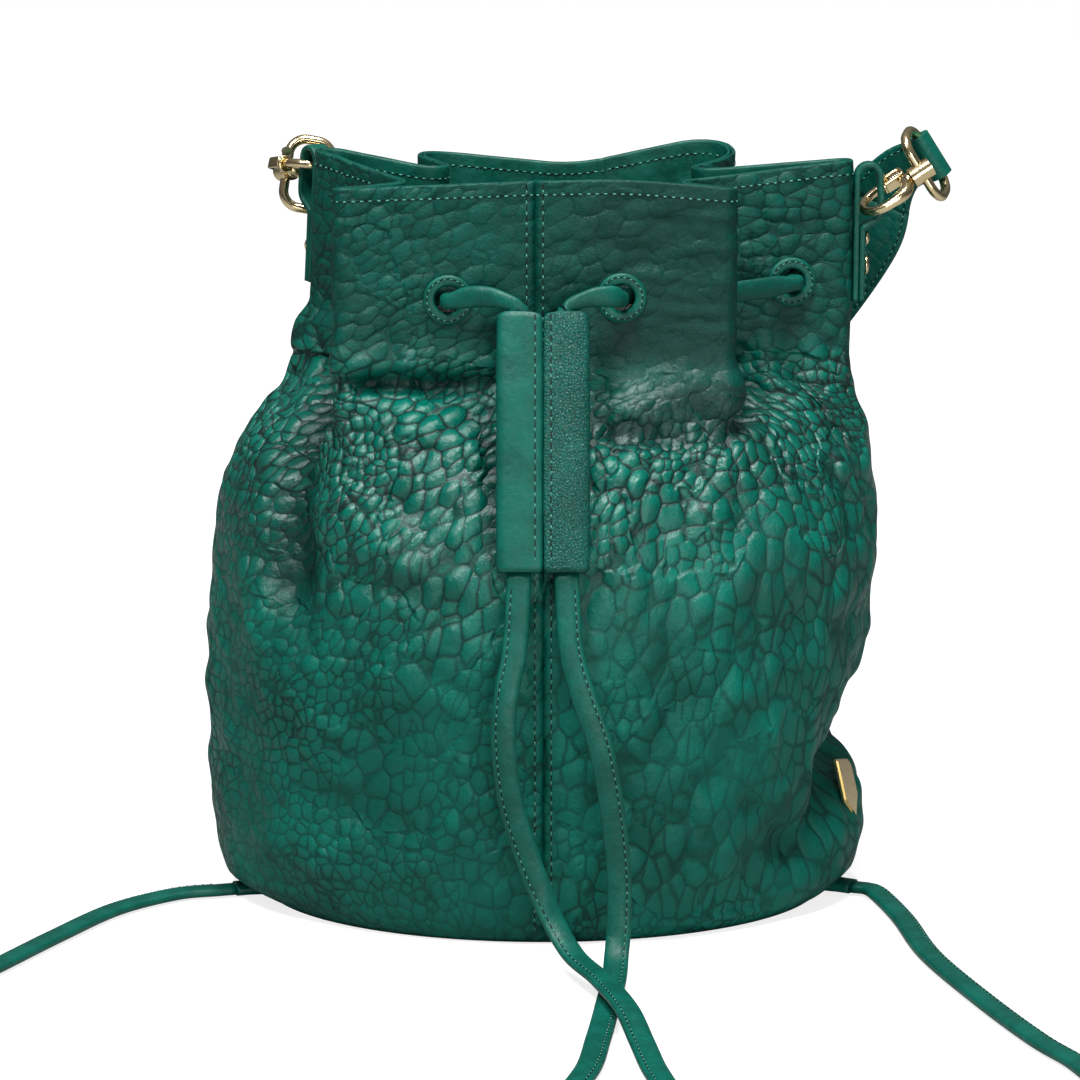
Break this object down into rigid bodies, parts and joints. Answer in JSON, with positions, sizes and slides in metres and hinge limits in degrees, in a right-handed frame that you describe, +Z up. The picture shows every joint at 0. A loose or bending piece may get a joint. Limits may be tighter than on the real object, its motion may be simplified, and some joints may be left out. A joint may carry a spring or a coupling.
{
  "type": "drawstring bucket bag",
  "caption": "Leather bucket bag with a gathered mouth, a drawcord through eyelets with a sliding stopper, and a strap clipped to side tabs by swivel hooks.",
  "frame": {"origin": "centre of the base, on the surface that the bag stands on", "axes": "+X to the bag's right as it is looked at from the front, -Y out of the front where the slider hangs, +Z up"},
  "size_m": [0.4166, 0.4133, 0.2954],
  "materials": {
    "grained_leather": "green leather with a large pebbled grain and a soft sheen",
    "smooth_leather": "the same green leather, smooth, for cord, slider and facing",
    "gold_metal": "polished pale gold plating",
    "spring_steel": "plain spring wire",
    "lining_cloth": "dark woven cloth",
    "board": "fibre board, hidden"
  },
  "bodies": {
    "bag": {"body_right": "grained_leather", "body_left": "grained_leather", "top_facing": "smooth_leather", "lining": "lining_cloth", "base_panel": "grained_leather", "base_board": "board", "eyelet_front_right": "smooth_leather", "eyelet_flank_right": "smooth_leather", "eyelet_side_right_front": "smooth_leather", "eyelet_side_right_back": "smooth_leather", "eyelet_pleat_right": "smooth_leather", "eyelet_back_right": "smooth_leather", "eyelet_back_left": "smooth_leather", "eyelet_pleat_left": "smooth_leather", "eyelet_side_left_back": "smooth_leather", "eyelet_side_left_front": "smooth_leather", "eyelet_flank_left": "smooth_leather", "eyelet_front_left": "smooth_leather", "drawcord": "smooth_leather", "cord_tail_left": "smooth_leather", "cord_tail_right": "smooth_leather", "cord_anchor_left": "smooth_leather", "cord_anchor_right": "smooth_leather", "tab_right": "grained_leather", "tab_rivet_right": "gold_metal", "tab_stud_right": "gold_metal", "tab_left": "grained_leather", "tab_rivet_left": "gold_metal", "tab_stud_left": "gold_metal", "strap": "grained_leather", "name_plate": "gold_metal"},
    "slider": {"slider": "smooth_leather"},
    "swivel_right": {"swivel_right": "gold_metal"},
    "ring_right": {"ring_right": "gold_metal", "strap_end_right": "grained_leather"},
    "hook_right": {"hook_right": "gold_metal", "gate_spring_right": "spring_steel"},
    "gate_right": {"gate_right": "gold_metal"},
    "swivel_left": {"swivel_left": "gold_metal"},
    "ring_left": {"ring_left": "gold_metal", "strap_end_left": "grained_leather"},
    "hook_left": {"hook_left": "gold_metal", "gate_spring_left": "spring_steel"},
    "gate_left": {"gate_left": "gold_metal"}
  },
  "joints": [
    {"name": "slider_slide", "type": "slide", "parent": "bag", "child": "slider", "axis": [0, -0.3032, -0.9529], "range_m": [0, 0.025]},
    {"name": "clasp_swing_right", "type": "hinge", "parent": "bag", "child": "swivel_right", "pos_m": [0.12155, 0, 0.264], "axis": [0, 1, 0], "range_deg": [0, 20], "deforming": ["strap"]},
    {"name": "ring_tilt_right", "type": "hinge", "parent": "swivel_right", "child": "ring_right", "pos_m": [0.14306, 0.00302, 0.27811], "axis": [-0.5393, -0.0758, 0.8387], "range_deg": [-10, 10], "deforming": ["strap"]},
    {"name": "hook_swivel_right", "type": "hinge", "parent": "swivel_right", "child": "hook_right", "pos_m": [0.12155, 0, 0.264], "axis": [0.8305, 0.1167, 0.5446], "range_deg": [-8, 1]},
    {"name": "gate_slide_right", "type": "slide", "parent": "hook_right", "child": "gate_right", "axis": [0.8305, 0.1167, 0.5446], "range_m": [0, 0.004], "stiffness_N_per_m": 300, "springref_m": -0.003, "deforming": ["gate_spring_right"]},
    {"name": "clasp_swing_left", "type": "hinge", "parent": "bag", "child": "swivel_left", "pos_m": [-0.08666, 0.02735, 0.27728], "axis": [-0.7986, -0.6018, 0], "range_deg": [-15, 15], "deforming": ["strap"]},
    {"name": "ring_tilt_left", "type": "hinge", "parent": "swivel_left", "child": "ring_left", "pos_m": [-0.09983, 0.04928, 0.27322], "axis": [0.1401, 0.2601, 0.9554], "range_deg": [-8, 12], "deforming": ["strap"]},
    {"name": "hook_swivel_left", "type": "hinge", "parent": "swivel_left", "child": "hook_left", "pos_m": [-0.08666, 0.02735, 0.27728], "axis": [-0.5084, 0.8467, -0.1565], "range_deg": [-8, 2]},
    {"name": "gate_slide_left", "type": "slide", "parent": "hook_left", "child": "gate_left", "axis": [-0.5084, 0.8467, -0.1565], "range_m": [0, 0.004], "stiffness_N_per_m": 300, "springref_m": -0.003, "deforming": ["gate_spring_left"]}
  ]
}
